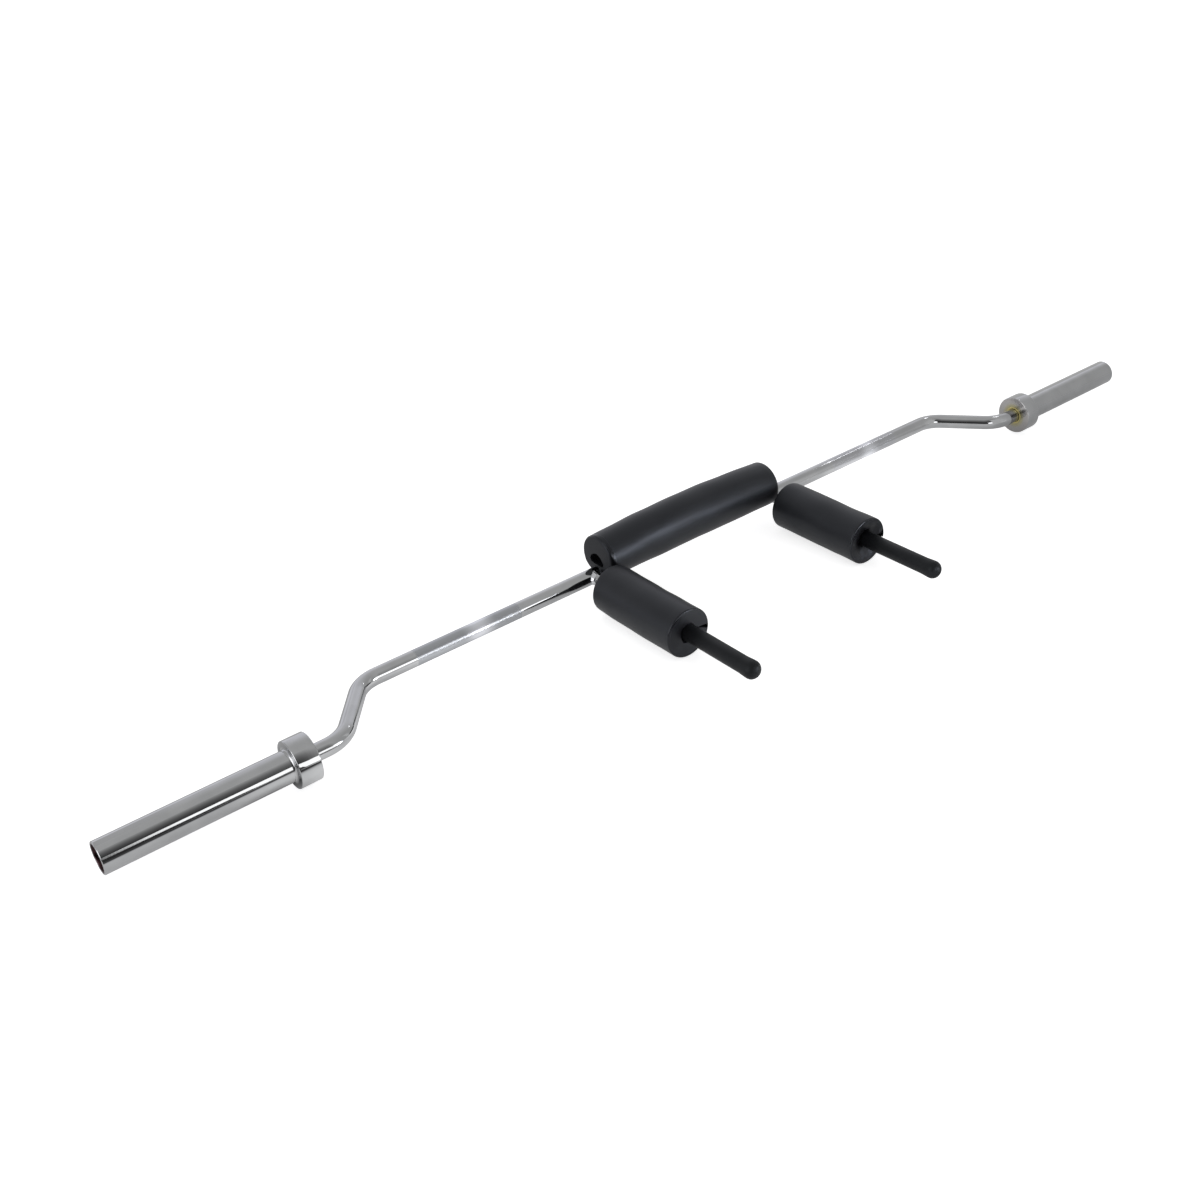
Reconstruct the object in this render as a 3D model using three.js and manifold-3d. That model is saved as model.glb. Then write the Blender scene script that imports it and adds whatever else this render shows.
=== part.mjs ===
// Safety squat bar: one bent bar with a foam neck pad, two padded arms that end in
// hand grips, and a free-turning plate sleeve on each end.
// Millimetres, +Z up. The bar lies on the flats of its shoulder pads. X runs along
// the shaft, the arms point to -Y, and the origin is under the middle of the outline.

import * as THREE from 'three';
import { mergeVertices } from 'three/addons/utils/BufferGeometryUtils.js';
import Module from 'manifold-3d';

const wasm = await Module();
wasm.setup();

// Clearance between pieces that touch, and how far a cut runs past what it cuts
const GAP = 0.3;
const OVERRUN = 5;

// Shaft: straight in the middle, with two bends at each side that bring the sleeves forward
const SHAFT_RADIUS = 14;
const SHAFT_CORNER = 676;
const BEND_RUN = 89;
const SLEEVE_OFFSET = 111;
const BEND_RADIUS = 60;

// Journal: the turned-down end of the bar that the sleeve runs on
const JOURNAL_RADIUS = 12.5;
const THREAD_HOLE_DEPTH = 32;

// Sleeve: the tube that takes the plates
const SLEEVE_RADIUS = 25;
const SLEEVE_WALL = 4;
const SLEEVE_LOAD_LENGTH = 282;
const SLEEVE_LIP = 1;

// Collar: the plate stop, with a web across its inner face
const COLLAR_RADIUS = 38;
const COLLAR_WIDTH = 35;
const COLLAR_INNER_FACE = 818;
const COLLAR_EDGE = 1.6;
const COLLAR_WEB = 7;
const COLLAR_FILLET = 2.4;

// Bushes: bronze, pressed into the sleeve at each end
const BUSH_NOSE_RADIUS = 17.5;
const BUSH_NOSE_PROUD = 1;
const BUSH_MOUTH_DEPTH = 7;
const INNER_BUSH_LENGTH = 40;
const OUTER_BUSH_LENGTH = 36;
const BUSH_CHAMFER = 1;

// End fastening: a screw into the journal holds a washer over the outer bush
const THRUST_WASHER_THICKNESS = 2;
const RETAINER_RADIUS = 17;
const RETAINER_THICKNESS = 3;
const LOCK_WASHER_RADIUS = 10;
const LOCK_WASHER_THICKNESS = 2;
const LOCK_WASHER_SPLIT = 1.6;
const SCREW_RADIUS = 6;
const SCREW_LENGTH = 34;
const SCREW_HEAD_FLATS = 19;
const SCREW_HEAD_HEIGHT = 7.5;
const SCREW_HEAD_CHAMFER = 1.2;
const END_RECESS = 10;

// Arms: a rod welded square to the shaft on each side of the neck
const ARM_SPACING = 426;
const ARM_RADIUS = 11;
const ARM_REACH = 404;
const WELD_RADIUS = 14;
const WELD_REACH = 6;
const WELD_TOE = 0.6;

// Shoulder pads: slit foam tubes on the arms
const PAD_RADIUS = 44;
const PAD_START = 53;
const PAD_LENGTH = 200;
const PAD_EDGE = 6;
const PAD_DROP = 3;
const PAD_FLAT = 0.5;
const PAD_MOUTH_RADIUS = 18.5;
const PAD_MOUTH_DEPTH = 14;
const PAD_SLIT_INNER = 1.4;
const PAD_SLIT_OUTER = 7.5;

// Hand grips: closed rubber sleeves on the ends of the arms
const GRIP_RADIUS = 14.75;
const GRIP_BULB_RADIUS = 15.8;
const GRIP_BULB_LENGTH = 22;
const GRIP_TIP_LENGTH = 14;
const GRIP_SKIN = 12;

// Neck pad: a foam tube slit underneath, which straddles the shaft with its bore above it
const NECK_PAD_LENGTH = 403;
const NECK_PAD_RADIUS = 41.5;
const NECK_PAD_RISE = 30;
const NECK_PAD_BORE = 15;
const NECK_PAD_BORE_RISE = 24;
const NECK_PAD_EDGE = 8;
const NECK_PAD_BOW = 8.5;

// Sides of the round pieces, steps in a bend, in a round edge and along the neck pad
const SHAFT_SIDES = 32;
const SLEEVE_SIDES = 40;
const SMALL_SIDES = 24;
const FOAM_SIDES = 40;
const HEXAGON_SIDES = 6;
const BEND_STEPS = 7;
const EDGE_STEPS = 4;
const BOW_STEPS = 8;

// Places that follow from the sizes above
const BEND_ANGLE = Math.atan2(SLEEVE_OFFSET, BEND_RUN);
const SLEEVE_CORNER = SHAFT_CORNER + BEND_RUN;
const COLLAR_OUTER_FACE = COLLAR_INNER_FACE + COLLAR_WIDTH;
const SLEEVE_END = COLLAR_OUTER_FACE + SLEEVE_LOAD_LENGTH;
const SLEEVE_BORE = SLEEVE_RADIUS - SLEEVE_WALL;
const BUSH_RADIUS = SLEEVE_BORE - GAP;
const JOURNAL_HOLE = JOURNAL_RADIUS + GAP;
const BUSH_NOSE_FACE = COLLAR_INNER_FACE - BUSH_NOSE_PROUD;
const WEB_FACE = COLLAR_INNER_FACE + COLLAR_WEB;
const MOUTH_FLOOR = BUSH_NOSE_FACE + BUSH_MOUTH_DEPTH;
const SHOULDER = MOUTH_FLOOR - GAP - THRUST_WASHER_THICKNESS - GAP;
const SCREW_HEAD_TOP = SLEEVE_END - END_RECESS;
const SCREW_HEAD_SEAT = SCREW_HEAD_TOP - SCREW_HEAD_HEIGHT;
const LOCK_WASHER_SEAT = SCREW_HEAD_SEAT - GAP - LOCK_WASHER_THICKNESS;
const RETAINER_SEAT = LOCK_WASHER_SEAT - GAP - RETAINER_THICKNESS;
const JOURNAL_END = RETAINER_SEAT - GAP;
const SCREW_HOLE = SCREW_RADIUS + GAP;
const ARM_X = ARM_SPACING / 2;
const ARM_HOLE = ARM_RADIUS + GAP;
const PAD_END = PAD_START + PAD_LENGTH;
const GRIP_START = PAD_END - PAD_MOUTH_DEPTH + GAP;
const GRIP_END = ARM_REACH + GRIP_SKIN;
const NECK_PAD_HALF = NECK_PAD_LENGTH / 2;
const SHAFT_Y = (GRIP_END - NECK_PAD_RADIUS) / 2;
const SHAFT_Z = PAD_RADIUS + PAD_DROP - PAD_FLAT;

const chrome = new THREE.MeshStandardMaterial({ color: 0xb9bcbf, roughness: 0.12, metalness: 1 });
const bronze = new THREE.MeshStandardMaterial({ color: 0xb08a45, roughness: 0.35, metalness: 1 });
const steel = new THREE.MeshStandardMaterial({ color: 0x8d8f92, roughness: 0.4, metalness: 1 });
const foam = new THREE.MeshStandardMaterial({ color: 0x2b2c30, roughness: 0.85, metalness: 0 });
const rubber = new THREE.MeshStandardMaterial({ color: 0x1d1e20, roughness: 0.7, metalness: 0 });

/** A path whose equal steps land exactly on the given stations. */
class StationPath extends THREE.Curve {
  constructor(points, directions) {
    super();
    this.points = points;
    this.directions = directions;
  }

  between(list, share, target) {
    const place = share * (list.length - 1);
    const first = Math.min(Math.floor(place), list.length - 2);
    return target.copy(list[first]).lerp(list[first + 1], place - first);
  }

  getPoint(share, target = new THREE.Vector3()) {
    return this.between(this.points, share, target);
  }

  getPointAt(share, target) {
    return this.getPoint(share, target);
  }

  getTangentAt(share, target = new THREE.Vector3()) {
    return this.between(this.directions, share, target).normalize();
  }
}

/** The closed solid inside a geometry, ready for cuts and joins. */
function solidOf(geometry) {
  geometry.deleteAttribute('normal');
  geometry.deleteAttribute('uv');
  const merged = mergeVertices(geometry);
  const corners = Array.from(merged.index.array);
  const triangles = [];
  for (let i = 0; i < corners.length; i += 3) {
    const [a, b, c] = corners.slice(i, i + 3);
    if (a !== b && b !== c && c !== a) triangles.push(a, b, c);
  }
  const vertProperties = new Float32Array(merged.attributes.position.array);
  const triVerts = new Uint32Array(triangles);
  return new wasm.Manifold(new wasm.Mesh({ numProp: 3, vertProperties, triVerts }));
}

/** The geometry of a solid after its cuts and joins. */
function geometryOf(solid) {
  const { vertProperties, triVerts } = solid.getMesh();
  const geometry = new THREE.BufferGeometry();
  geometry.setAttribute('position', new THREE.BufferAttribute(vertProperties, 3));
  geometry.setIndex(new THREE.BufferAttribute(triVerts, 1));
  geometry.computeVertexNormals();
  return geometry;
}

/** A round solid about local Y from [radius, place] pairs, outer wall first, upwards. */
function turned(profile, sides) {
  const points = profile.map(([radius, place]) => new THREE.Vector2(radius, place));
  return new THREE.LatheGeometry(points, sides);
}

/** A ring about local Y between two places, with chamfered or square edges. */
function ring(outer, inner, start, end, sides, edge = 0) {
  const corners = [[inner, start], [outer - edge, start]];
  if (edge > 0) corners.push([outer, start + edge], [outer, end - edge]);
  corners.push([outer - edge, end], [inner, end], [inner, start]);
  return turned(corners, sides);
}

/** A plain rod about local Y. */
function rod(radius, start, end, sides) {
  return turned([[0, start], [radius, start], [radius, end], [0, end]], sides);
}

/** Points of a quarter-round edge, from the first angle to the second, about a centre. */
function roundedEdge(centreRadius, centrePlace, edge, from, to) {
  const points = [];
  for (let i = 0; i <= EDGE_STEPS; i++) {
    const angle = from + ((to - from) * i) / EDGE_STEPS;
    points.push([centreRadius + edge * Math.cos(angle), centrePlace + edge * Math.sin(angle)]);
  }
  return points;
}

/** A foam log about local Y with rounded ends and even rows along its length. */
function foamLog(radius, start, end, edge, rows) {
  const core = radius - edge;
  const lower = roundedEdge(core, start + edge, edge, -Math.PI / 2, 0);
  const upper = roundedEdge(core, end - edge, edge, 0, Math.PI / 2);
  const side = [];
  for (let i = 1; i < rows; i++) {
    side.push([radius, start + edge + ((end - start - 2 * edge) * i) / rows]);
  }
  return turned([[0, start], ...lower, ...side, ...upper, [0, end]], FOAM_SIDES);
}

function mesh(name, geometry, material) {
  const piece = new THREE.Mesh(geometry, material);
  piece.name = name;
  return piece;
}

/** Stations along one bend: the arc from one direction to another, about its centre. */
function bendStations(corner, before, after) {
  const turn = after - before;
  const tangent = BEND_RADIUS * Math.tan(Math.abs(turn) / 2);
  const start = corner.clone().sub(heading(before).multiplyScalar(tangent));
  const centre = start.clone().add(heading(before + Math.sign(turn) * Math.PI / 2).multiplyScalar(BEND_RADIUS));
  const stations = [];
  for (let i = 0; i <= BEND_STEPS; i++) {
    const angle = before + (turn * i) / BEND_STEPS;
    const out = heading(angle - Math.sign(turn) * Math.PI / 2).multiplyScalar(BEND_RADIUS);
    stations.push({ point: centre.clone().add(out), direction: heading(angle) });
  }
  return stations;
}

/** The direction in the bar's plane at an angle from +X. */
function heading(angle) {
  return new THREE.Vector3(Math.cos(angle), Math.sin(angle), 0);
}

/** The bar itself: the bent shaft with a turned journal and a threaded hole at each end. */
function shaftGeometry() {
  const sleeveY = -SLEEVE_OFFSET;
  const rise = BEND_ANGLE;
  const stations = [
    { point: new THREE.Vector3(-SHOULDER, sleeveY, 0), direction: heading(0) },
    ...bendStations(new THREE.Vector3(-SLEEVE_CORNER, sleeveY, 0), 0, rise),
    ...bendStations(new THREE.Vector3(-SHAFT_CORNER, 0, 0), rise, 0),
    ...bendStations(new THREE.Vector3(SHAFT_CORNER, 0, 0), 0, -rise),
    ...bendStations(new THREE.Vector3(SLEEVE_CORNER, sleeveY, 0), -rise, 0),
    { point: new THREE.Vector3(SHOULDER, sleeveY, 0), direction: heading(0) },
  ];
  const section = new THREE.Shape();
  for (let i = 0; i < SHAFT_SIDES; i++) {
    const angle = (2 * Math.PI * i) / SHAFT_SIDES;
    const x = SHAFT_RADIUS * Math.cos(angle);
    const y = SHAFT_RADIUS * Math.sin(angle);
    if (i === 0) section.moveTo(x, y);
    else section.lineTo(x, y);
  }
  section.closePath();
  const path = new StationPath(stations.map((s) => s.point), stations.map((s) => s.direction));
  let bar = solidOf(new THREE.ExtrudeGeometry(section, { extrudePath: path, steps: stations.length - 1 }));
  for (const side of [-1, 1]) {
    const journal = rod(JOURNAL_RADIUS, SHOULDER - OVERRUN, JOURNAL_END, SHAFT_SIDES);
    const hole = rod(SCREW_HOLE, JOURNAL_END - THREAD_HOLE_DEPTH, JOURNAL_END + OVERRUN, SMALL_SIDES);
    for (const tool of [journal, hole]) tool.rotateZ(-side * Math.PI / 2).translate(0, sleeveY, 0);
    bar = bar.add(solidOf(journal)).subtract(solidOf(hole));
  }
  return geometryOf(bar);
}

/** The space that the shaft takes, with a clearance round it, along local X. */
function shaftSpace(half) {
  return solidOf(rod(SHAFT_RADIUS + GAP, -half, half, SHAFT_SIDES).rotateZ(Math.PI / 2));
}

/** Arm rod: its root is coped to the shaft, its end lies inside the grip. */
function armGeometry() {
  const blank = rod(ARM_RADIUS, 0, ARM_REACH, SMALL_SIDES);
  return geometryOf(solidOf(blank).subtract(shaftSpace(ARM_RADIUS + OVERRUN)));
}

/** Weld bead round the root of an arm, coped to the shaft as the arm is. */
function weldGeometry() {
  const top = SHAFT_RADIUS + WELD_REACH;
  const bead = turned([
    [ARM_HOLE, SHAFT_RADIUS / 2],
    [WELD_RADIUS, SHAFT_RADIUS / 2],
    [WELD_RADIUS, SHAFT_RADIUS],
    [ARM_HOLE + WELD_TOE, top],
    [ARM_HOLE, top],
    [ARM_HOLE, SHAFT_RADIUS / 2],
  ], SMALL_SIDES);
  return geometryOf(solidOf(bead).subtract(shaftSpace(SHAFT_RADIUS + OVERRUN)));
}

/** Shoulder pad: a foam tube, slit along its side, with a flared mouth and a flat underneath. */
function shoulderPadGeometry() {
  const log = foamLog(PAD_RADIUS, PAD_START, PAD_END, PAD_EDGE, 1).translate(0, 0, -PAD_DROP);
  const bore = rod(ARM_HOLE, PAD_START - OVERRUN, PAD_END + OVERRUN, SMALL_SIDES);
  const mouth = rod(PAD_MOUTH_RADIUS, PAD_END - PAD_MOUTH_DEPTH, PAD_END + OVERRUN, SMALL_SIDES);
  const slit = new THREE.Shape();
  const outer = -PAD_RADIUS - OVERRUN;
  slit.moveTo(0, -PAD_SLIT_INNER / 2);
  slit.lineTo(0, PAD_SLIT_INNER / 2);
  slit.lineTo(outer, PAD_SLIT_OUTER / 2);
  slit.lineTo(outer, -PAD_SLIT_OUTER / 2);
  slit.closePath();
  const slitLength = PAD_LENGTH + 2 * OVERRUN;
  const wedge = new THREE.ExtrudeGeometry(slit, { depth: slitLength, bevelEnabled: false });
  wedge.rotateX(-Math.PI / 2).translate(0, PAD_START - OVERRUN, 0);
  const floor = new THREE.BoxGeometry(2 * PAD_RADIUS, slitLength, 2 * PAD_FLAT);
  floor.translate(0, PAD_START + PAD_LENGTH / 2, -SHAFT_Z - PAD_FLAT);
  let pad = solidOf(log);
  for (const tool of [bore, mouth, wedge, floor]) pad = pad.subtract(solidOf(tool));
  return geometryOf(pad);
}

/** Hand grip: a closed sleeve that swells to a rounded tip. */
function gripGeometry() {
  const bulbStart = GRIP_END - GRIP_TIP_LENGTH - GRIP_BULB_LENGTH;
  const tipStart = GRIP_END - GRIP_TIP_LENGTH;
  const tip = [];
  for (let i = 1; i < EDGE_STEPS; i++) {
    const angle = (Math.PI / 2) * (i / EDGE_STEPS);
    tip.push([GRIP_BULB_RADIUS * Math.cos(angle), tipStart + GRIP_TIP_LENGTH * Math.sin(angle)]);
  }
  return turned([
    [ARM_HOLE, GRIP_START],
    [GRIP_RADIUS, GRIP_START],
    [GRIP_RADIUS, bulbStart],
    [GRIP_BULB_RADIUS, tipStart],
    ...tip,
    [0, GRIP_END],
    [0, ARM_REACH + GAP],
    [ARM_HOLE, ARM_REACH + GAP],
    [ARM_HOLE, GRIP_START],
  ], SMALL_SIDES);
}

/** Neck pad: a bowed foam log whose bore opens downwards over the shaft, notched for the welds. */
function neckPadGeometry() {
  const log = foamLog(NECK_PAD_RADIUS, -NECK_PAD_HALF, NECK_PAD_HALF, NECK_PAD_EDGE, BOW_STEPS);
  log.rotateZ(Math.PI / 2);
  const corners = log.attributes.position;
  for (let i = 0; i < corners.count; i++) {
    const bow = NECK_PAD_BOW * (1 - (corners.getX(i) / NECK_PAD_HALF) ** 2);
    const height = (corners.getZ(i) / NECK_PAD_RADIUS + 1) / 2;
    corners.setZ(i, corners.getZ(i) + bow * height + NECK_PAD_RISE);
  }
  const reach = NECK_PAD_HALF + OVERRUN;
  const bore = rod(NECK_PAD_BORE, -reach, reach, SMALL_SIDES);
  bore.rotateZ(Math.PI / 2).translate(0, 0, NECK_PAD_BORE_RISE);
  let pad = solidOf(log).subtract(solidOf(bore)).subtract(shaftSpace(reach));
  for (const side of [-1, 1]) {
    const notch = rod(WELD_RADIUS + GAP, -NECK_PAD_RADIUS - OVERRUN, 0, SMALL_SIDES);
    pad = pad.subtract(solidOf(notch.translate(side * ARM_X, 0, 0)));
  }
  return geometryOf(pad);
}

/** Collar: a heavy ring over the inner end of the sleeve, closed by a web. */
function collarGeometry() {
  const seat = SLEEVE_RADIUS + GAP;
  const hole = BUSH_NOSE_RADIUS + GAP;
  const filletCentre = seat + COLLAR_FILLET;
  return turned([
    [hole, COLLAR_INNER_FACE],
    [COLLAR_RADIUS - COLLAR_EDGE, COLLAR_INNER_FACE],
    [COLLAR_RADIUS, COLLAR_INNER_FACE + COLLAR_EDGE],
    [COLLAR_RADIUS, COLLAR_OUTER_FACE - COLLAR_EDGE],
    [COLLAR_RADIUS - COLLAR_EDGE, COLLAR_OUTER_FACE],
    ...roundedEdge(filletCentre, COLLAR_OUTER_FACE + COLLAR_FILLET, COLLAR_FILLET, -Math.PI / 2, -Math.PI),
    [seat, WEB_FACE],
    [hole, WEB_FACE],
    [hole, COLLAR_INNER_FACE],
  ], SLEEVE_SIDES);
}

/** Inner bush: its nose shows in the collar, round a mouth that takes the thrust washer. */
function innerBushGeometry() {
  const body = WEB_FACE + GAP;
  const mouth = SHAFT_RADIUS + GAP + GAP;
  return turned([
    [mouth, BUSH_NOSE_FACE],
    [BUSH_NOSE_RADIUS, BUSH_NOSE_FACE],
    [BUSH_NOSE_RADIUS, body],
    [BUSH_RADIUS, body],
    [BUSH_RADIUS, body + INNER_BUSH_LENGTH],
    [JOURNAL_HOLE, body + INNER_BUSH_LENGTH],
    [JOURNAL_HOLE, MOUTH_FLOOR],
    [mouth, MOUTH_FLOOR],
    [mouth, BUSH_NOSE_FACE],
  ], SMALL_SIDES);
}

/** Spring washer under the screw head, split through one side. */
function lockWasherGeometry() {
  const end = LOCK_WASHER_SEAT + LOCK_WASHER_THICKNESS;
  const whole = ring(LOCK_WASHER_RADIUS, SCREW_HOLE, LOCK_WASHER_SEAT, end, SMALL_SIDES);
  const cut = new THREE.BoxGeometry(LOCK_WASHER_RADIUS, LOCK_WASHER_THICKNESS * 2, LOCK_WASHER_SPLIT);
  cut.translate(LOCK_WASHER_RADIUS, (LOCK_WASHER_SEAT + end) / 2, 0);
  return geometryOf(solidOf(whole).subtract(solidOf(cut)));
}

/** End screw: a hexagon head with a turned top, on a shank that fills the threaded hole. */
function screwGeometry() {
  const corner = SCREW_HEAD_FLATS / Math.sqrt(3);
  const hexagon = rod(corner, SCREW_HEAD_SEAT, SCREW_HEAD_TOP, HEXAGON_SIDES);
  const turnedTop = turned([
    [0, SCREW_HEAD_SEAT - OVERRUN],
    [corner, SCREW_HEAD_SEAT - OVERRUN],
    [corner, SCREW_HEAD_TOP - SCREW_HEAD_CHAMFER],
    [corner - SCREW_HEAD_CHAMFER, SCREW_HEAD_TOP],
    [0, SCREW_HEAD_TOP],
  ], SMALL_SIDES);
  const shank = rod(SCREW_RADIUS, SCREW_HEAD_SEAT - SCREW_LENGTH, SCREW_HEAD_TOP - SCREW_HEAD_CHAMFER, SMALL_SIDES);
  return geometryOf(solidOf(hexagon).intersect(solidOf(turnedTop)).add(solidOf(shank)));
}

/** One side's arm with what it carries. Local Y runs from the shaft to the tip. */
function armGroup(label, side) {
  const group = new THREE.Group();
  group.position.set(side * ARM_X, 0, 0);
  group.rotation.z = Math.PI;
  group.add(
    mesh(`${label}_arm_rod`, armGeometry(), chrome),
    mesh(`${label}_arm_weld`, weldGeometry(), chrome),
    mesh(`${label}_shoulder_pad`, shoulderPadGeometry(), foam),
    mesh(`${label}_hand_grip`, gripGeometry(), rubber),
  );
  return group;
}

/** One side's sleeve and its fastening. Local Y runs outwards from the middle of the bar. */
function sleeveGroup(label, side) {
  const group = new THREE.Group();
  group.position.set(0, -SLEEVE_OFFSET, 0);
  group.rotation.z = -side * Math.PI / 2;
  const washerRadius = SHAFT_RADIUS + GAP;
  const washerStart = SHOULDER + GAP;
  const washerEnd = washerStart + THRUST_WASHER_THICKNESS;
  const retainerEnd = RETAINER_SEAT + RETAINER_THICKNESS;
  const outerBushStart = JOURNAL_END - OUTER_BUSH_LENGTH;
  const tube = ring(SLEEVE_RADIUS, SLEEVE_BORE, WEB_FACE + GAP, SLEEVE_END, SLEEVE_SIDES, SLEEVE_LIP);
  const thrustWasher = ring(washerRadius, JOURNAL_HOLE, washerStart, washerEnd, SMALL_SIDES);
  const outerBush = ring(BUSH_RADIUS, JOURNAL_HOLE, outerBushStart, JOURNAL_END, SMALL_SIDES, BUSH_CHAMFER);
  const retainer = ring(RETAINER_RADIUS, SCREW_HOLE, RETAINER_SEAT, retainerEnd, SMALL_SIDES);
  group.add(
    mesh(`${label}_sleeve_tube`, tube, chrome),
    mesh(`${label}_sleeve_collar`, collarGeometry(), chrome),
    mesh(`${label}_inner_bush`, innerBushGeometry(), bronze),
    mesh(`${label}_outer_bush`, outerBush, bronze),
    mesh(`${label}_thrust_washer`, thrustWasher, steel),
    mesh(`${label}_retaining_washer`, retainer, steel),
    mesh(`${label}_lock_washer`, lockWasherGeometry(), steel),
    mesh(`${label}_end_screw`, screwGeometry(), steel),
  );
  return group;
}

const bar = new THREE.Group();
bar.position.set(0, SHAFT_Y, SHAFT_Z);
bar.add(mesh('bar_shaft', shaftGeometry(), chrome), mesh('neck_pad', neckPadGeometry(), foam));
for (const [label, side] of [['left', -1], ['right', 1]]) {
  bar.add(armGroup(label, side), sleeveGroup(label, side));
}

const part = new THREE.Group();
part.add(bar);

export default part;
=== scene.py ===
import math

import bmesh
import bpy
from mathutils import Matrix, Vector, noise


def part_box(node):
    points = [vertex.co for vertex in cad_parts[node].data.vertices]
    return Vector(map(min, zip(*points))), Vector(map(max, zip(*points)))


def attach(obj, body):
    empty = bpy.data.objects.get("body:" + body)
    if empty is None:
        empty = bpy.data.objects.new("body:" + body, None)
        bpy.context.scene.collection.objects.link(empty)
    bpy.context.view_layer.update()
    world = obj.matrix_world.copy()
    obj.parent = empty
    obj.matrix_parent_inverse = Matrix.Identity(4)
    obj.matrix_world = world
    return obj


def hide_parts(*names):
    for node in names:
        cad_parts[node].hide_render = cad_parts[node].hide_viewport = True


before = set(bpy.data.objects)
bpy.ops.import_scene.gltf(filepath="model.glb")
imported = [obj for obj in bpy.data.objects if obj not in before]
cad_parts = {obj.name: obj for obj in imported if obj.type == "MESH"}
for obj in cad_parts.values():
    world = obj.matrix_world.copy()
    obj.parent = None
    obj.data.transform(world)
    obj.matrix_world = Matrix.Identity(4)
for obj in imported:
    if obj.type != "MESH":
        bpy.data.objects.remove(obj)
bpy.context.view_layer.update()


# Camera: it stands out beyond the left sleeve, above the bar, and looks down across it.
# Place, turn and lens are those that put the bar's outlines where the photograph has them.
CAMERA_PLACE = (-1.3875, -1.4918, 1.2523)
CAMERA_TURN = (61.1875, 3.55, -39.3941)
CAMERA_LENS = 40.69
CAMERA_SHIFT = (-0.03388, -0.05768)
CAMERA_REACH = 60
bpy.ops.object.camera_add(
    location=CAMERA_PLACE,
    rotation=[math.radians(degrees) for degrees in CAMERA_TURN],
)
camera = bpy.context.object
camera.data.lens = CAMERA_LENS
camera.data.shift_x, camera.data.shift_y = CAMERA_SHIFT
camera.data.clip_end = CAMERA_REACH
bpy.context.scene.camera = camera
bpy.context.scene.view_settings.view_transform = "Standard"


# Floor: a white sweep that the bar lies on. It glows for the camera, so that it stays white
# with only a trace of shadow. The metal sees it grey, with painted pools of light and of
# shadow, and with painted shade, black in front of the left sleeve, behind the left half of
# the bar and beyond the right bend.
class Wire:
    """A socket in a node tree. Sums, differences and products of wires add Math nodes."""

    def __init__(self, tree, socket=None):
        self.tree = tree
        self.socket = socket

    def node(self, kind, settings=(), values=(), output=0):
        """Adds a node: its settings are set first, then the values or wires of its sockets."""
        made = self.tree.nodes.new("ShaderNode" + kind)
        for name, value in dict(settings).items():
            if name == "stops":
                for number, (place, colour) in enumerate(value):
                    stops = made.color_ramp.elements
                    stop = stops[number] if number < 2 else stops.new(place)
                    stop.position, stop.color = place, colour
            else:
                setattr(made, name, value)
        for name, value in dict(values).items():
            if isinstance(value, Wire):
                self.tree.links.new(value.socket, made.inputs[name])
            else:
                made.inputs[name].default_value = value
        return Wire(self.tree, made.outputs[output] if made.outputs else None)

    def maths(self, operation, first, second):
        return self.node("Math", {"operation": operation}, {0: first, 1: second})

    def __add__(self, other):
        return self.maths("ADD", self, other)

    def __sub__(self, other):
        return self.maths("SUBTRACT", self, other)

    def __rsub__(self, other):
        return self.maths("SUBTRACT", other, self)

    def __mul__(self, other):
        return self.maths("MULTIPLY", self, other)

    def __truediv__(self, other):
        return self.maths("DIVIDE", self, other)

    def ramp(self, start, end):
        """0 before start, 1 past end, smooth between them."""
        values = {"Value": self, "From Min": start, "From Max": end}
        return self.node("MapRange", {"interpolation_type": "SMOOTHSTEP"}, values)

    def blend(self, first, second):
        """The first colour where this wire is 0, the second where it is 1."""
        return self.node("Mix", {"data_type": "RGBA"}, {0: self, 6: first, 7: second}, 2)

    def part(self, name):
        """One of the three numbers of a vector."""
        return self.node("SeparateXYZ", (), {0: self}, name)

    def feed(self, socket):
        self.tree.links.new(self.socket, socket)

    __radd__ = __add__
    __rmul__ = __mul__


def grey(level):
    return (level, level, level, 1)


FLOOR_SIZE = 40
FLOOR_GREY = 0.78
CAMERA_GLOW, GLOSSY_GLOW = 0.72, 0.30
# Pools of painted light and painted shadow: each is its place along the bar and across it,
# its reach and its strength.
PAINTED_LIGHT_POOLS = [
    (0.03, -0.32, 0.25, 1.2), (0.47, 0.15, 0.12, 0.6), (-0.50, 0.08, 0.18, 0.5), (-0.80, 0.0, 0.18, 0.35),
]
PAINTED_SHADOW_POOLS = [(-0.88, 0.11, 0.11, 0.7), (0.33, -0.20, 0.22, 0.8)]
# Painted shade that only the metal sees: in front of the left sleeve, behind the left half of the bar
# from a line that follows the bend, and beyond the right bend.
FRONT_SHADE, FRONT_EDGE, FRONT_END = 0.9, (-0.26, -0.08), (-0.62, -0.52)
BACK_SHADE, BACK_EDGE, BACK_END = 0.36, (0.0, 0.08), (-0.30, -0.10)
BAR_LINE, BAR_STEP, BAR_BEND = 0.04, 0.11, (-0.80, -0.62)
RIGHT_SHADE, RIGHT_EDGE = 0.36, (0.66, 0.80)

bpy.ops.mesh.primitive_plane_add(size=FLOOR_SIZE)
floor = bpy.context.object
floor.name = "studio_floor"
floor_paint = bpy.data.materials.new("studio_white")
floor_paint.use_nodes = True
floor_paint.node_tree.nodes.clear()
paint = Wire(floor_paint.node_tree)
to_camera, to_glossy, to_clear = [
    paint.node("LightPath", output=ray)
    for ray in ("Is Camera Ray", "Is Glossy Ray", "Is Transmission Ray")
]
spot = paint.node("TexCoord", output="Object")


def painted_pools(places):
    """The sum of round painted pools on the floor, each fading from its middle to 0 at its reach."""
    total = 0
    for x, y, reach, strength in places:
        away = paint.node("VectorMath", {"operation": "DISTANCE"}, {0: spot, 1: (x, y, 0)}, 1)
        total = (1 - away.ramp(0.0, reach)) * strength + total
    return total


# The metal also sees the painted pools of light on the floor.
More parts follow.
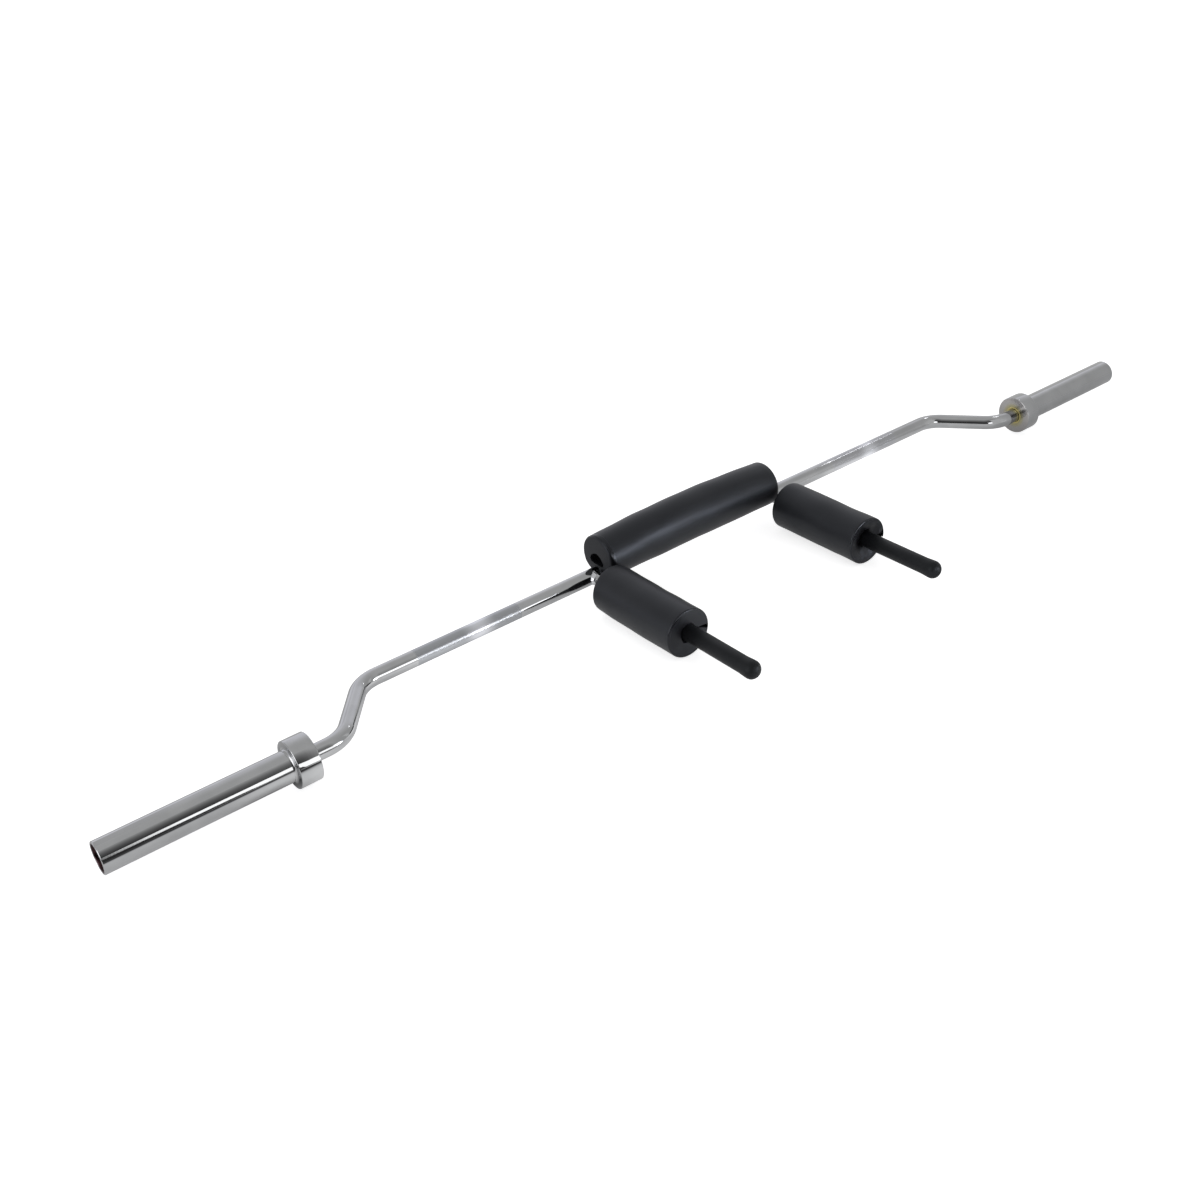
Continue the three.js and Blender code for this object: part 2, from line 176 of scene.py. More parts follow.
strength = (to_camera + to_clear) * CAMERA_GLOW + to_glossy * (painted_pools(PAINTED_LIGHT_POOLS) + GLOSSY_GLOW)
glow = paint.node("Emission", (), {"Color": grey(1), "Strength": strength})
matt = paint.node("BsdfDiffuse", (), {"Color": grey(FLOOR_GREY)})
lit = paint.node("AddShader", (), {0: glow, 1: matt})
floor_x, floor_y = spot.part("X"), spot.part("Y")
# Painted shade, seen only by the metal, mixes the floor towards black.
front_painted_shade = (1 - floor_y.ramp(*FRONT_EDGE)) * (1 - floor_x.ramp(*FRONT_END)) * FRONT_SHADE
bar_line = floor_x.ramp(*BAR_BEND) * BAR_STEP + BAR_LINE
back_painted_shade = (floor_y - bar_line).ramp(*BACK_EDGE) * (1 - floor_x.ramp(*BACK_END)) * BACK_SHADE
right_painted_shade = floor_x.ramp(*RIGHT_EDGE) * RIGHT_SHADE
painted_shade = to_glossy * (front_painted_shade + back_painted_shade + right_painted_shade + painted_pools(PAINTED_SHADOW_POOLS))
painted_shade = painted_shade.node("Clamp", (), {0: painted_shade})
unlit = paint.node("Emission", (), {"Color": grey(0)})
mixed = paint.node("MixShader", (), {0: painted_shade, 1: lit, 2: unlit})
paint.node("OutputMaterial", (), {"Surface": mixed})
floor.data.materials.append(floor_paint)


# Room: pale walls that are lightest behind the bar, and a ceiling a little darker, which
# is what the upper side of the chrome shows. The camera sees them white.
ROOM_LIGHT = 0.66
BACK_LIGHT, BACK_TINT = 0.35, (0.99, 0.99, 1.05, 1)
BACK_FACING, BACK_HEIGHT = (-0.1, 0.5), (0.40, 0.97)
RIGHT_LOSS, RIGHT_FACING = 0.09, (0.35, 0.80)
world = bpy.data.worlds.new("studio_room")
world.use_nodes = True
bpy.context.scene.world = world
world.node_tree.nodes.clear()
room = Wire(world.node_tree)
look = room.node("TexCoord", output="Generated")
back_wall = look.part("Y").ramp(*BACK_FACING) * (1 - look.part("Z").ramp(*BACK_HEIGHT))
right_wall = look.part("X").ramp(*RIGHT_FACING)
light = ROOM_LIGHT + back_wall * BACK_LIGHT - right_wall * (1 - back_wall) * RIGHT_LOSS
tint = back_wall.blend(grey(1), BACK_TINT)
seen, seen_through = [
    room.node("LightPath", output=ray) for ray in ("Is Camera Ray", "Is Transmission Ray")
]
seen = seen + seen_through
tint = seen.blend(tint, grey(1))
light = room.node("Background", (), {"Color": tint, "Strength": light * (1 - seen) + seen})
room.node("OutputWorld", (), {"Surface": light})


# Studio panels: they show only in the polished metal and the foam. A black flag stands in
# front, and a long strip light before it makes the white streaks. Two windows and a lamp light
# the rims and bends, a grey card hides the strip from the right half, and boards stand behind.
FRONT = (math.pi / 2, 0, 0)
SIDE = (math.pi / 2, 0, math.pi / 2)
LEVEL = (0, 0, 0)


def rectangle(left, low, right, high):
    """The corners of a rectangular panel, as pairs of places across it and up it."""
    return [(left, low), (right, low), (right, high), (left, high)]


def panel(name, corners, middle, turn):
    """A flat panel from its corners, for show() to finish."""
    bpy.ops.mesh.primitive_plane_add(size=1, location=middle, rotation=turn)
    made = bpy.context.object
    made.name = name
    bpy.ops.object.mode_set(mode="EDIT")
    sheet = bmesh.from_edit_mesh(made.data)
    bmesh.ops.delete(sheet, geom=sheet.verts, context="VERTS")
    sheet.faces.new([sheet.verts.new((across, up, 0)) for across, up in corners])
    bpy.ops.object.mode_set(mode="OBJECT")
    bpy.ops.object.transform_apply()
    made.visible_camera = made.visible_diffuse = made.visible_shadow = False
    material = bpy.data.materials.new(name)
    material.use_nodes = True
    material.node_tree.nodes.clear()
    made.data.materials.append(material)
    return Wire(material.node_tree)


def place_on(wire, axis):
    """Where a point of a panel is: along the bar for X, above the floor for Z."""
    return wire.node("TexCoord", output="Object").part(axis)


def show(wire, colour, opacity):
    """Finishes a panel: it glows in its colour where it is opaque, and is clear elsewhere."""
    glow = wire.node("Emission", (), {"Color": colour})
    nothing = wire.node("BsdfTransparent")
    mixed = wire.node("MixShader", (), {0: opacity, 1: nothing, 2: glow})
    wire.node("OutputMaterial", (), {"Surface": mixed})


FLAG_TOP = 10
FLAG_GREYS = [(0.00, 0.045), (0.15, 0.05), (0.23, 0.10), (0.38, 0.21), (0.63, 0.40), (1.00, 0.60)]
FLAG_LEFT, FLAG_RIGHT, FLAG_LEAN = (-6.4, -5.4), (-0.7, 1.3), 0.15
wire = panel("black_flag", rectangle(-6.5, 0, 2.6, FLAG_TOP), middle=(0, -3.0, 0), turn=FRONT)
x, z = place_on(wire, "X"), place_on(wire, "Z")
stops = [(place, grey(level)) for place, level in FLAG_GREYS]
shade = wire.node("ValToRGB", {"stops": stops}, {"Fac": z / FLAG_TOP})
show(wire, shade, x.ramp(*FLAG_LEFT) * (1 - (x - z * FLAG_LEAN).ramp(*FLAG_RIGHT)))

STRIP_UNDER = [(-0.80, 0.86), (-0.27, 0.45), (-0.18, 0.15), (0.03, 0.12), (0.30, 0.05), (2.9, 0.02)]
STRIP_OVER = [
    (2.9, 0.45), (1.7, 0.60), (1.0, 1.0), (0.30, 1.22), (0.03, 1.22), (-0.27, 1.34), (-0.80, 1.60),
]
STRIP_WHITE, STRIP_HOT, STRIP_HOT_FROM = grey(2.3), (18, 18.6, 20.5, 1), (0.8, 1.5)
STRIP_LEFT, STRIP_RIGHT = (-0.84, -0.40), (1.7, 2.9)
wire = panel("strip_light", STRIP_UNDER + STRIP_OVER, middle=(0, -2.81, 0), turn=FRONT)
x = place_on(wire, "X")
strength = x.ramp(*STRIP_HOT_FROM).blend(STRIP_WHITE, STRIP_HOT)
show(wire, strength, x.ramp(*STRIP_LEFT) * (1 - x.ramp(*STRIP_RIGHT)))

SIDE_WHITE, LOW_WHITE = (2.6, 2.6, 2.65, 1), (2.8, 2.8, 2.85, 1)
wire = panel("side_window", rectangle(-1.6, 0.3, 0.6, 3.2), middle=(-3.2, 0, 0), turn=SIDE)
show(wire, SIDE_WHITE, 1.0)
wire = panel("low_window", rectangle(-0.12, 0.12, 0.44, 0.62), middle=(0, -1.2, 0), turn=FRONT)
show(wire, LOW_WHITE, 1.0)

CARD_NEAR, CARD_FAR, CARD_FADE = grey(0.78), grey(0.64), (0.9, 1.3)
wire = panel("grey_card", rectangle(0.50, 0, 1.4, 1.15), middle=(0, -0.55, 0), turn=FRONT)
show(wire, place_on(wire, "X").ramp(*CARD_FADE).blend(CARD_NEAR, CARD_FAR), 1.0)

BOARD_GREY, BOARD_LOW, BOARD_RIGHT = 0.6, (0.7, 1.2), (-0.9, 0.1)
wire = panel("grey_board", rectangle(-6, 0.7, 0.1, 6), middle=(0, 2.6, 0), turn=FRONT)
opacity = place_on(wire, "Z").ramp(*BOARD_LOW) * (1 - place_on(wire, "X").ramp(*BOARD_RIGHT))
show(wire, grey(BOARD_GREY), opacity)

PALE_GREY, PALE_LEFT, PALE_TOP = 0.68, (2.5, 3.3), (1.6, 2.8)
wire = panel("right_board", rectangle(2.5, 0, 12, 2.8), middle=(0, 2.6, 0), turn=FRONT)
opacity = place_on(wire, "X").ramp(*PALE_LEFT) * (1 - place_on(wire, "Z").ramp(*PALE_TOP))
show(wire, grey(PALE_GREY), opacity)

GLINT_WHITE, GLINT_PLACE, GLINT_RIGHT = (9.0, 9.0, 9.3, 1), (2.03, 0.55, 1.85), (2.02, 2.15)
wire = panel("right_glint", rectangle(-0.10, -0.10, 0.12, 0.10), middle=GLINT_PLACE, turn=LEVEL)
show(wire, GLINT_WHITE, 1 - place_on(wire, "X").ramp(*GLINT_RIGHT))


# Bar shaft: one 28 mm steel bar, bent twice at each end so that the sleeves sit forward of
# it, chromed, and rolled with a diamond knurl on a stretch at each side for the rack and
# the hands. Its turned-down ends carry the sleeves and are drilled for the end screws.
SHAFT_RADIUS = 0.014
SHAFT_SIDES = 112
BEND_CORNER, BEND_RUN, BEND_RADIUS = 0.676, 0.089, 0.060
BEND_STEPS = 20
KNURLS = [(-0.578, -0.375), (0.378, 0.560)]
KNURL_PITCH = 0.00125
KNURL_DEPTH = 0.00003
JOURNAL_RADIUS = 0.0125
JOURNAL_SHOULDER = 0.8214
SCREW_HOLE_RADIUS, SCREW_HOLE_DEPTH = 0.0063, 0.032
SAME_PLACE = 0.0001
SAME_POINT = 0.00001

shaft_low, shaft_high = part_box("bar_shaft")
SHAFT_Y = shaft_high.y - SHAFT_RADIUS
SLEEVE_Y = shaft_low.y + SHAFT_RADIUS
BAR_Z = (shaft_low.z + shaft_high.z) / 2
bar_end = shaft_high.x

bend = math.atan2(SHAFT_Y - SLEEVE_Y, BEND_RUN)
bend_start = BEND_RADIUS * math.tan(bend / 2)
leg = math.hypot(SHAFT_Y - SLEEVE_Y, BEND_RUN) - 2 * bend_start

bpy.ops.object.select_all(action="DESELECT")
bpy.ops.mesh.primitive_circle_add(
    vertices=SHAFT_SIDES, radius=JOURNAL_RADIUS,
    location=(-bar_end, SLEEVE_Y, BAR_Z), rotation=(0, math.pi / 2, 0),
)
shaft = bpy.context.object
shaft.name = shaft.data.name = "chromed_shaft"
bpy.ops.object.transform_apply()
bpy.ops.object.mode_set(mode="EDIT")
at = Vector((-bar_end, SLEEVE_Y, BAR_Z))
heading = 0.0


def forward(length):
    """Draws the bar on, straight ahead."""
    global at
    step = Vector((math.cos(heading), math.sin(heading), 0)) * length
    bpy.ops.mesh.extrude_region_move(TRANSFORM_OT_translate={"value": step})
    at = at + step


def curve(angle):
    """Bends the bar round, to the left for a positive angle."""
    global at, heading
    side = math.copysign(1, angle)
    middle = at + Vector((-math.sin(heading), math.cos(heading), 0)) * BEND_RADIUS * side
    bpy.ops.mesh.spin(steps=BEND_STEPS, angle=-angle, center=middle, axis=(0, 0, 1))
    heading += angle
    at = middle - Vector((-math.sin(heading), math.cos(heading), 0)) * BEND_RADIUS * side


def widen(share):
    """Steps the bar out or in, to a share of its radius."""
    bpy.ops.mesh.extrude_region_move()
    bpy.ops.transform.resize(value=(1, share, share), center_override=at)


def close(piece):
    """Merges rings that meet, caps open ends and points the faces outwards, in edit mode."""
    bpy.ops.mesh.select_all(action="SELECT")
    bpy.ops.mesh.remove_doubles(threshold=SAME_POINT)
    bpy.ops.mesh.fill_holes(sides=0)
    bpy.ops.mesh.select_all(action="SELECT")
    bpy.ops.mesh.normals_make_consistent(inside=False)


forward(bar_end - JOURNAL_SHOULDER)
widen(SHAFT_RADIUS / JOURNAL_RADIUS)
forward(JOURNAL_SHOULDER - BEND_CORNER - BEND_RUN - bend_start)
curve(bend)
forward(leg)
curve(-bend)
for stop in [place for knurl in KNURLS for place in knurl] + [BEND_CORNER - bend_start]:
    forward(stop - at.x)
curve(-bend)
forward(leg)
curve(bend)
forward(JOURNAL_SHOULDER - at.x)
widen(JOURNAL_RADIUS / SHAFT_RADIUS)
forward(bar_end - at.x)
widen(SCREW_HOLE_RADIUS / JOURNAL_RADIUS)
forward(-SCREW_HOLE_DEPTH)

mesh = bmesh.from_edit_mesh(shaft.data)
for vertex in mesh.verts:
    vertex.select = abs(vertex.co.x + bar_end) < SAME_PLACE
mesh.select_flush(True)
at = Vector((-bar_end, SLEEVE_Y, BAR_Z))
widen(SCREW_HOLE_RADIUS / JOURNAL_RADIUS)
forward(SCREW_HOLE_DEPTH)
close(shaft)

for start, end in KNURLS:
    bpy.ops.mesh.select_all(action="DESELECT")
    bpy.ops.mesh.select_mode(type="EDGE")
    mesh = bmesh.from_edit_mesh(shaft.data)
    for edge in mesh.edges:
        first, last = sorted(vertex.co.x for vertex in edge.verts)
        edge.select = abs(first - start) < SAME_PLACE and abs(last - end) < SAME_PLACE
    rings = round((end - start) / KNURL_PITCH)
    bpy.ops.mesh.subdivide(number_cuts=rings - 1)
    bpy.ops.mesh.select_mode(type="VERT")
    for parity, lift in ((0, KNURL_DEPTH), (1, -KNURL_DEPTH)):
        mesh = bmesh.from_edit_mesh(shaft.data)
        for vertex in mesh.verts:
            ring = round((vertex.co.x - start) / (end - start) * rings)
            angle = math.atan2(vertex.co.z - BAR_Z, vertex.co.y - SHAFT_Y)
            spoke = round(angle / (2 * math.pi) * SHAFT_SIDES)
            inside = start + SAME_PLACE < vertex.co.x < end - SAME_PLACE
            vertex.select = inside and (ring + spoke) % 2 == parity
        mesh.select_flush(True)
        bpy.ops.transform.shrink_fatten(value=lift)
bpy.ops.object.mode_set(mode="OBJECT")


def smooth(piece, degrees=35):
    """Shades a piece smooth, apart from edges that are sharper than the angle."""
    bpy.ops.object.select_all(action="DESELECT")
    piece.select_set(True)
    bpy.context.view_layer.objects.active = piece
    bpy.ops.object.shade_smooth_by_angle(angle=math.radians(degrees))


def principled(name, colour, metallic, roughness):
    """A new material: its shader's sockets, and a wire to start its nodes from."""
    material = bpy.data.materials.new(name)
    material.use_nodes = True
    shader = material.node_tree.nodes["Principled BSDF"]
    shader.inputs["Base Color"].default_value = (*colour, 1)
    shader.inputs["Metallic"].default_value = metallic
    shader.inputs["Roughness"].default_value = roughness
    return material, shader.inputs, Wire(material.node_tree)


MOTTLED = (0.3, 0.7)
CHROME_GREY, CHROME_ROUGH = (0.44, 0.445, 0.45), 0.1
CHROME_DARK, CHROME_LIGHT = (0.42, 0.425, 0.43, 1), (0.46, 0.465, 0.47, 1)
CHROME_CLOUD = 30.0


def chrome(name, grain, dent, *zones):
    """Bright chrome plate. The polish runs along the grain, and the plate is faintly wavy.

    A zone is a function of the place that gives 1 inside it, with its colour and roughness.
    """
    material, sockets, wire = principled(name, CHROME_GREY, 1, CHROME_ROUGH)
    place = wire.node("TexCoord", output="Object")
    marks = wire.node("Mapping", (), {"Vector": place, "Scale": grain})
    marks = wire.node("TexNoise", (), {"Vector": marks, "Scale": 1.0, "Detail": 4.0})
    cloud = wire.node("TexNoise", (), {"Vector": place, "Scale": CHROME_CLOUD, "Detail": 3.0})
    rough = marks * 0.04 + cloud * 0.03 + 0.02
    tone = cloud.ramp(*MOTTLED).blend(CHROME_DARK, CHROME_LIGHT)
    for inside, colour, dull in zones:
        part = inside(place)
        tone = part.blend(tone, colour)
        rough = rough * (1 - part) + part * dull
    rough.feed(sockets["Roughness"])
    tone.feed(sockets["Base Color"])
    bump = wire.node("Bump", (), {"Strength": 0.25, "Distance": dent, "Height": cloud + marks * 0.3})
    bump.feed(sockets["Normal"])
    return material


def between(start, end, soft=0.001):
    """A zone of the bar from one place along it to another, with soft ends."""
    def inside(place):
        return place.part("X").ramp(start, start + soft) * (1 - place.part("X").ramp(end - soft, end))

    return inside


def dressed(piece, body, material, slot, *nodes):
    """Gives a finished piece its material and its body, and hides the CAD nodes that it stands for."""
    piece.data.materials.clear()
    piece.data.materials.append(material)
    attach(piece, body)
    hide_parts(*nodes)


SHAFT_GRAIN, SHAFT_DENT = (40, 300, 300), 0.00012
LEFT_KNURL_GREY, LEFT_KNURL_ROUGH = (0.36, 0.37, 0.385, 1), 0.28
RIGHT_KNURL_GREY, RIGHT_KNURL_ROUGH = (0.42, 0.425, 0.44, 1), 0.21
# Painted highlights: a soft lighter patch across the middle of each knurl.
PAINTED_HIGHLIGHT_GREY = (0.66, 0.67, 0.70, 1)
LEFT_PAINTED_HIGHLIGHT, RIGHT_PAINTED_HIGHLIGHT = (-0.492, -0.420, 0.034), (0.452, 0.515, 0.030)
smooth(shaft)
shaft_chrome = chrome(
    "shaft_chrome", SHAFT_GRAIN, SHAFT_DENT,
    (between(*KNURLS[0]), LEFT_KNURL_GREY, LEFT_KNURL_ROUGH),
    (between(*KNURLS[1]), RIGHT_KNURL_GREY, RIGHT_KNURL_ROUGH),
    # The two lighter patches are painted highlights.
    (between(*LEFT_PAINTED_HIGHLIGHT), PAINTED_HIGHLIGHT_GREY, LEFT_KNURL_ROUGH),
    (between(*RIGHT_PAINTED_HIGHLIGHT), PAINTED_HIGHLIGHT_GREY, RIGHT_KNURL_ROUGH),
)
dressed(shaft, "frame", shaft_chrome, "chrome", "bar_shaft")


# Arms: two 22 mm chromed rods, coped at the root to the round of the shaft and welded to it
# all round. The grip is pushed over the front end and the foam sits on the middle.
ARM_RADIUS = 0.011
ARM_SIDES = 80
ARM_SINK = 0.004
ARM_GRAIN = (300, 40, 300)
# The bead's places are measured backwards from the front of the shaft.
WELD_PROFILE = [
    (0.0020, 0.0105), (0.0020, 0.0150), (0.0008, 0.0156), (-0.0006, 0.0155),
    (-0.0020, 0.0150), (-0.0034, 0.0142), (-0.0047, 0.0132), (-0.0058, 0.0121),
    (-0.0066, 0.0108), (-0.0066, 0.0105), (0.0020, 0.0105),
]
WELD_SIDES = 152
WELD_RIPPLES, RIPPLE_HEIGHT = 19, 0.10
LUMP_HEIGHT, LUMP_SCALE = 0.3, 2
WELD_SQUASH = 0.6
WELD_REACH = 0.95
WELD_GRAIN, WELD_DENT = (150, 150, 150), 0.0004
# The bead is painted a lighter, glossier grey than the other chrome: a painted highlight for its bright
# lump.
WELD_GREY, WELD_ROUGH = (0.62, 0.63, 0.65, 1), 0.16


def turned(name, profile, axis, centre, sides):
    """A piece as a lathe makes it, from (place along the axis, radius) pairs in order.

    The last ring is extruded and scaled for each pair. Rings that meet are merged, and an
    end that stays open gets a flat face.
    """
    along = Vector((axis == "X", axis == "Y", 0))
    spot = Vector(centre) * (Vector((1, 1, 1)) - along)
    turn = (0, math.pi / 2, 0) if axis == "X" else (math.pi / 2, 0, 0)
    bpy.ops.object.select_all(action="DESELECT")
    bpy.ops.mesh.primitive_circle_add(
        vertices=sides, radius=profile[0][1], location=spot + along * profile[0][0], rotation=turn
    )
    piece = bpy.context.object
    piece.name = piece.data.name = name
    bpy.ops.object.transform_apply()
    bpy.ops.object.mode_set(mode="EDIT")
    for (place, radius), (next_place, next_radius) in zip(profile, profile[1:]):
        step = along * (next_place - place)
        bpy.ops.mesh.extrude_region_move(TRANSFORM_OT_translate={"value": step})
        share = next_radius / radius
        size = [1 if straight else share for straight in along]
        bpy.ops.transform.resize(value=size, center_override=spot + along * next_place)
    close(piece)
    bpy.ops.object.mode_set(mode="OBJECT")
    return piece


def rod(sides, radius, length, middle, turn):
    """A plain round tool to cut with."""
    bpy.ops.object.select_all(action="DESELECT")
    bpy.ops.mesh.primitive_cylinder_add(
        vertices=sides, radius=radius, depth=length, location=middle, rotation=turn
    )
    return bpy.context.object


def modified(piece, kind, **settings):
    """Adds one modifier to a piece and applies it."""
    bpy.ops.object.select_all(action="DESELECT")
    piece.select_set(True)
    bpy.context.view_layer.objects.active = piece
    modifier = piece.modifiers.new(kind, kind)
    for setting, value in settings.items():
        setattr(modifier, setting, value)
    bpy.ops.object.modifier_apply(modifier=modifier.name)


def cut(piece, tool):
    """Cuts a tool's shape out of a piece and throws the tool away."""
    modified(piece, "BOOLEAN", object=tool, operation="DIFFERENCE", solver="EXACT")
    bpy.data.objects.remove(tool)


def everywhere(place):
    return place.part("X") * 0 + 1


arm_chrome = chrome("arm_chrome", ARM_GRAIN, SHAFT_DENT)
# The weld's chrome carries the bead's painted highlight.
weld_chrome = chrome("weld_chrome", WELD_GRAIN, WELD_DENT, (everywhere, WELD_GREY, WELD_ROUGH))
for label in ("left", "right"):
    low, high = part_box(label + "_arm_rod")
    arm_x = (low.x + high.x) / 2
    centre = (arm_x, 0, BAR_Z)
    profile = [(SHAFT_Y - ARM_SINK, ARM_RADIUS), (low.y, ARM_RADIUS)]
    arm = turned(label + "_chromed_arm", profile, "Y", centre, ARM_SIDES)
    cut(arm, rod(SHAFT_SIDES, SHAFT_RADIUS, 4 * ARM_RADIUS, (arm_x, SHAFT_Y, BAR_Z), (0, math.pi / 2, 0)))
    smooth(arm)
    dressed(arm, "frame", arm_chrome, "chrome", label + "_arm_rod")

    seat = SHAFT_Y - SHAFT_RADIUS
    profile = [(seat + place, radius) for place, radius in WELD_PROFILE]
    weld = turned(label + "_arm_weld_bead", profile, "Y", centre, WELD_SIDES)
    for vertex in weld.data.vertices:
        out = Vector((vertex.co.x - arm_x, 0, vertex.co.z - BAR_Z))
        turn = math.atan2(out.z, out.x)
        lump = noise.noise(out.normalized() * LUMP_SCALE)
        ripple = 1 + RIPPLE_HEIGHT * math.cos(WELD_RIPPLES * turn) + LUMP_HEIGHT * lump
        spread = (out.length - ARM_RADIUS) * (1 - WELD_SQUASH * math.sin(turn) ** 2) * ripple
        vertex.co += out.normalized() * (ARM_RADIUS + spread - out.length)
        drop = min(abs(vertex.co.z - BAR_Z), WELD_REACH * SHAFT_RADIUS)
        vertex.co.y += SHAFT_RADIUS - math.sqrt(SHAFT_RADIUS ** 2 - drop ** 2)
    smooth(weld, 60)
    dressed(weld, "frame", weld_chrome, "chrome", label + "_arm_weld")


# Shoulder pads: thick tubes of charcoal closed-cell foam with a smooth moulded skin, slit
# along one side so that they open over the arm. The front mouth is flared and cut by hand.
FOAM_GREY, FOAM_ROUGH = (0.009, 0.0093, 0.011), 0.45
FOAM_DARK, FOAM_LIGHT = (0.0060, 0.0062, 0.0078, 1), (0.0088, 0.0090, 0.0108, 1)
FOAM_PORES, FOAM_PATCHES = 900.0, 14.0
FOAM_SHINE, FOAM_TINT = 0.40, (0.86, 0.91, 1.0, 1)


def foam(name, lip, polish):
    """Closed-cell foam rubber: a matt skin with fine pores, polished where lip(place) gives 1."""
    material, sockets, wire = principled(name, FOAM_GREY, 0, FOAM_ROUGH)
    place = wire.node("TexCoord", output="Object")
    pores = wire.node("TexNoise", (), {"Vector": place, "Scale": FOAM_PORES, "Detail": 2.0})
    patch = wire.node("TexNoise", (), {"Vector": place, "Scale": FOAM_PATCHES, "Detail": 3.0})
    patch.ramp(*MOTTLED).blend(FOAM_DARK, FOAM_LIGHT).feed(sockets["Base Color"])
    (patch * 0.12 + pores * 0.06 + 0.34 - lip(place) * polish).feed(sockets["Roughness"])
    sockets["Specular IOR Level"].default_value = FOAM_SHINE
    sockets["Specular Tint"].default_value = FOAM_TINT
    bump = wire.node("Bump", (), {"Strength": 0.2, "Distance": 0.0002, "Height": pores})
    bump = wire.node("Bump", (), {"Strength": 0.25, "Distance": 0.002, "Height": patch, "Normal": bump})
    bump.feed(sockets["Normal"])
    return material


PAD_RADIUS = 0.0438
PAD_EDGE = 0.0028
PAD_ROWS = 26
PAD_SIDES = 128
PAD_FLOOR = 0.0003
PUSH_FIT = 0.0002
BACK_HOLE_EDGE, BACK_HOLE_FLARE, BACK_DISC = 0.001, 0.0015, 0.024
RIM_POLISH = 0.22
RIM_INSIDE, RIM_FRONT = (0.0395, 0.0410), (0.002, 0.004)
# How far each pad's mouth is opened, and how far its edge is lifted.
MOUTHS = {"left": (0.0165, 0.0005), "right": (0.031, 0.0045)}
MOUTH_DEPTH = 0.014
MOUTH_STEPS = (0.0, 0.1, 0.25, 0.45, 0.7, 1.0)
# Each slit's place and rise at its inner end and at the skin, and how far it gapes in front.
SLITS = {
    "left": (0.0155, 0.0056, 0.0425, -0.0037, 0.0085),
    "right": (0.022, 0.0, 0.0428, -0.0016, 0.020),
}
SLIT_CLOSED, SLIT_SPLAY = 0.0004, 0.030
SLIT_START, SLIT_END = 0.006, 0.052
WEDGE_LEAD, WEDGE_GAIN = 0.01, 1.3
WAVE_SCALE, WAVE_SHIFT, WAVE_HEIGHT = 22, 50, 0.0011
TEAR_SCALE, TEAR_SHIFT, TEAR_LENGTH, TEAR_RADIUS = 60, 9, 0.03, 0.04
TEAR_SPREAD, TEAR_RAG = 0.35, 0.003


def front_rim(place):
    """The rounded edge at the front of both shoulder pads."""
    low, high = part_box("right_shoulder_pad")
    centre = (-(low.x + high.x) / 2, 0, PAD_RADIUS - high.z)
    away = place.node("VectorMath", {"operation": "ABSOLUTE"}, {0: place})
    away = place.node("Mapping", (), {"Vector": away, "Location": centre, "Scale": (1, 0, 1)})
    away = place.node("VectorMath", {"operation": "LENGTH"}, {0: away}, 1)
    start, end = [low.y + distance for distance in RIM_FRONT]
    return away.ramp(*RIM_INSIDE) * (1 - place.part("Y").ramp(start, end))


def quarter(centre_place, centre_radius, edge, start, end, steps=7):
    """Points of a rounded edge in a lathe profile, from one angle to another in degrees."""
    angles = [math.radians(start + (end - start) * step / steps) for step in range(steps + 1)]
    return [
        (centre_place + edge * math.sin(angle), centre_radius + edge * math.cos(angle))
        for angle in angles
    ]


